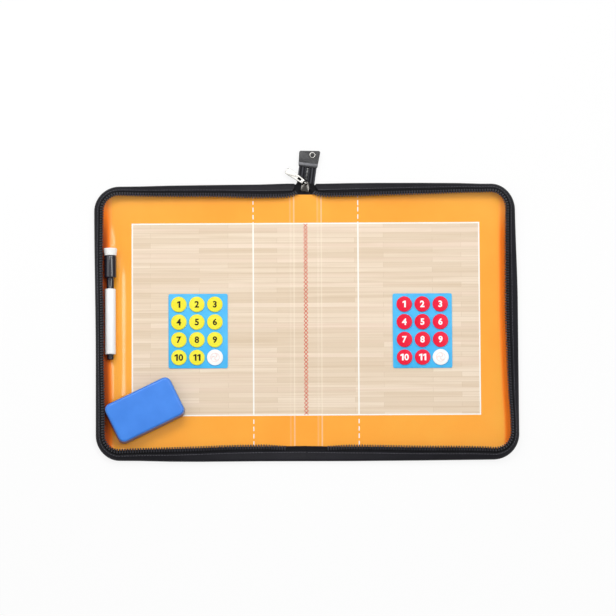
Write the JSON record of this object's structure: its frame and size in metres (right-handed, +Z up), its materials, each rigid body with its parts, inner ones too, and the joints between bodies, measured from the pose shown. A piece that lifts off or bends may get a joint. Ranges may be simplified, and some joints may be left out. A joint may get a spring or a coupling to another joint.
{
  "type": "tactics board",
  "caption": "Zip-round folding tactics board, open flat: printed magnetic court lining, numbered magnetic discs on two cards, an eraser and a dry-erase pen.",
  "frame": {"origin": "centre of the spine's underside, on the surface the open case lies on", "axes": "+X to the right across the two halves, +Y along the spine to the zip's tail, +Z up"},
  "size_m": [0.48, 0.3538, 0.0217],
  "materials": {
    "cover_leather": "grained imitation leather",
    "stiff_board": "plain grey board",
    "steel_sheet": "thin tinplate",
    "lining_vinyl": "printed glossy vinyl",
    "zip_tape": "woven",
    "zip_coil": "satin",
    "zip_metal": "bright plated",
    "tab_vinyl": "glossy vinyl",
    "card_vinyl": "satin",
    "disc_yellow": "printed satin face",
    "disc_red": "printed satin face",
    "disc_white": "printed satin face",
    "eraser_plastic": "moulded satin",
    "eraser_felt": "pressed felt",
    "pen_white": "moulded gloss",
    "pen_black": "moulded gloss",
    "nib_felt": "pressed fibre",
    "brush_felt": "pressed felt"
  },
  "bodies": {
    "spine": {"spine_cover": "cover_leather", "spine_board": "stiff_board", "spine_lining": "lining_vinyl", "spine_tail_gusset": "cover_leather", "spine_foot_gusset": "cover_leather", "tail_tape": "zip_tape", "tail_coil": "zip_coil", "end_tab": "tab_vinyl", "tab_rivet": "zip_metal"},
    "left_half": {"left_cover": "cover_leather", "left_board": "stiff_board", "left_steel_sheet": "steel_sheet", "left_lining": "lining_vinyl", "left_gusset": "cover_leather", "left_zip_tape": "zip_tape", "left_zip_coil": "zip_coil"},
    "right_half": {"right_cover": "cover_leather", "right_board": "stiff_board", "right_steel_sheet": "steel_sheet", "right_lining": "lining_vinyl", "right_gusset": "cover_leather", "right_zip_tape": "zip_tape", "right_zip_coil": "zip_coil"},
    "zip_slider": {"slider_body": "zip_metal"},
    "zip_pull": {"zip_pull": "zip_metal"},
    "left_card": {"left_card": "card_vinyl"},
    "yellow_disc_1": {"yellow_disc_1": "disc_yellow"},
    "yellow_disc_2": {"yellow_disc_2": "disc_yellow"},
    "yellow_disc_3": {"yellow_disc_3": "disc_yellow"},
    "yellow_disc_4": {"yellow_disc_4": "disc_yellow"},
    "yellow_disc_5": {"yellow_disc_5": "disc_yellow"},
    "yellow_disc_6": {"yellow_disc_6": "disc_yellow"},
    "yellow_disc_7": {"yellow_disc_7": "disc_yellow"},
    "yellow_disc_8": {"yellow_disc_8": "disc_yellow"},
    "yellow_disc_9": {"yellow_disc_9": "disc_yellow"},
    "yellow_disc_10": {"yellow_disc_10": "disc_yellow"},
    "yellow_disc_11": {"yellow_disc_11": "disc_yellow"},
    "left_ball_disc": {"left_ball_disc": "disc_white"},
    "right_card": {"right_card": "card_vinyl"},
    "red_disc_1": {"red_disc_1": "disc_red"},
    "red_disc_2": {"red_disc_2": "disc_red"},
    "red_disc_3": {"red_disc_3": "disc_red"},
    "red_disc_4": {"red_disc_4": "disc_red"},
    "red_disc_5": {"red_disc_5": "disc_red"},
    "red_disc_6": {"red_disc_6": "disc_red"},
    "red_disc_7": {"red_disc_7": "disc_red"},
    "red_disc_8": {"red_disc_8": "disc_red"},
    "red_disc_9": {"red_disc_9": "disc_red"},
    "red_disc_10": {"red_disc_10": "disc_red"},
    "red_disc_11": {"red_disc_11": "disc_red"},
    "right_ball_disc": {"right_ball_disc": "disc_white"},
    "eraser": {"eraser_shell": "eraser_plastic", "eraser_felt": "eraser_felt"},
    "pen": {"pen_barrel": "pen_white", "pen_collar": "pen_black", "pen_nib": "nib_felt", "pen_reservoir": "nib_felt", "pen_tail_plug": "pen_black"},
    "pen_cap": {"pen_cap": "pen_black", "cap_brush": "brush_felt"}
  },
  "joints": [
    {"name": "left_fold", "type": "hinge", "parent": "spine", "child": "left_half", "pos_m": [-0.0155, 0, 0.0012], "axis": [0, -1, 0], "range_deg": [-90, 0]},
    {"name": "right_fold", "type": "hinge", "parent": "spine", "child": "right_half", "pos_m": [0.0155, 0, 0.0012], "axis": [0, 1, 0], "range_deg": [-90, 0]},
    {"name": "slider_travel", "type": "slide", "parent": "spine", "child": "zip_slider", "axis": [0.1323, 0.9912, 0], "range_m": [0, 0.016], "deforming": ["tail_coil"]},
    {"name": "pull_flip", "type": "hinge", "parent": "zip_slider", "child": "zip_pull", "pos_m": [-0.00002, 0.15857, 0.01065], "axis": [0.5962, 0.8028, 0], "range_deg": [0, 150]},
    {"name": "left_card_lift", "type": "slide", "parent": "left_half", "child": "left_card", "axis": [0, 0, 1], "range_m": [0, 0.05]},
    {"name": "yellow_disc_1_lift", "type": "slide", "parent": "left_card", "child": "yellow_disc_1", "axis": [0, 0, 1], "range_m": [0, 0.05]},
    {"name": "yellow_disc_2_lift", "type": "slide", "parent": "left_card", "child": "yellow_disc_2", "axis": [0, 0, 1], "range_m": [0, 0.05]},
    {"name": "yellow_disc_3_lift", "type": "slide", "parent": "left_card", "child": "yellow_disc_3", "axis": [0, 0, 1], "range_m": [0, 0.05]},
    {"name": "yellow_disc_4_lift", "type": "slide", "parent": "left_card", "child": "yellow_disc_4", "axis": [0, 0, 1], "range_m": [0, 0.05]},
    {"name": "yellow_disc_5_lift", "type": "slide", "parent": "left_card", "child": "yellow_disc_5", "axis": [0, 0, 1], "range_m": [0, 0.05]},
    {"name": "yellow_disc_6_lift", "type": "slide", "parent": "left_card", "child": "yellow_disc_6", "axis": [0, 0, 1], "range_m": [0, 0.05]},
    {"name": "yellow_disc_7_lift", "type": "slide", "parent": "left_card", "child": "yellow_disc_7", "axis": [0, 0, 1], "range_m": [0, 0.05]},
    {"name": "yellow_disc_8_lift", "type": "slide", "parent": "left_card", "child": "yellow_disc_8", "axis": [0, 0, 1], "range_m": [0, 0.05]},
    {"name": "yellow_disc_9_lift", "type": "slide", "parent": "left_card", "child": "yellow_disc_9", "axis": [0, 0, 1], "range_m": [0, 0.05]},
    {"name": "yellow_disc_10_lift", "type": "slide", "parent": "left_card", "child": "yellow_disc_10", "axis": [0, 0, 1], "range_m": [0, 0.05]},
    {"name": "yellow_disc_11_lift", "type": "slide", "parent": "left_card", "child": "yellow_disc_11", "axis": [0, 0, 1], "range_m": [0, 0.05]},
    {"name": "left_ball_disc_lift", "type": "slide", "parent": "left_card", "child": "left_ball_disc", "axis": [0, 0, 1], "range_m": [0, 0.05]},
    {"name": "right_card_lift", "type": "slide", "parent": "right_half", "child": "right_card", "axis": [0, 0, 1], "range_m": [0, 0.05]},
    {"name": "red_disc_1_lift", "type": "slide", "parent": "right_card", "child": "red_disc_1", "axis": [0, 0, 1], "range_m": [0, 0.05]},
    {"name": "red_disc_2_lift", "type": "slide", "parent": "right_card", "child": "red_disc_2", "axis": [0, 0, 1], "range_m": [0, 0.05]},
    {"name": "red_disc_3_lift", "type": "slide", "parent": "right_card", "child": "red_disc_3", "axis": [0, 0, 1], "range_m": [0, 0.05]},
    {"name": "red_disc_4_lift", "type": "slide", "parent": "right_card", "child": "red_disc_4", "axis": [0, 0, 1], "range_m": [0, 0.05]},
    {"name": "red_disc_5_lift", "type": "slide", "parent": "right_card", "child": "red_disc_5", "axis": [0, 0, 1], "range_m": [0, 0.05]},
    {"name": "red_disc_6_lift", "type": "slide", "parent": "right_card", "child": "red_disc_6", "axis": [0, 0, 1], "range_m": [0, 0.05]},
    {"name": "red_disc_7_lift", "type": "slide", "parent": "right_card", "child": "red_disc_7", "axis": [0, 0, 1], "range_m": [0, 0.05]},
    {"name": "red_disc_8_lift", "type": "slide", "parent": "right_card", "child": "red_disc_8", "axis": [0, 0, 1], "range_m": [0, 0.05]},
    {"name": "red_disc_9_lift", "type": "slide", "parent": "right_card", "child": "red_disc_9", "axis": [0, 0, 1], "range_m": [0, 0.05]},
    {"name": "red_disc_10_lift", "type": "slide", "parent": "right_card", "child": "red_disc_10", "axis": [0, 0, 1], "range_m": [0, 0.05]},
    {"name": "red_disc_11_lift", "type": "slide", "parent": "right_card", "child": "red_disc_11", "axis": [0, 0, 1], "range_m": [0, 0.05]},
    {"name": "right_ball_disc_lift", "type": "slide", "parent": "right_card", "child": "right_ball_disc", "axis": [0, 0, 1], "range_m": [0, 0.05]},
    {"name": "eraser_lift", "type": "slide", "parent": "left_half", "child": "eraser", "axis": [0, 0, 1], "range_m": [0, 0.08]},
    {"name": "pen_lift", "type": "slide", "parent": "left_half", "child": "pen", "axis": [0, 0, 1], "range_m": [0, 0.08]},
    {"name": "cap_pull_off", "type": "slide", "parent": "pen", "child": "pen_cap", "axis": [0, 0.9999, 0.0136], "range_m": [0, 0.045]}
  ]
}
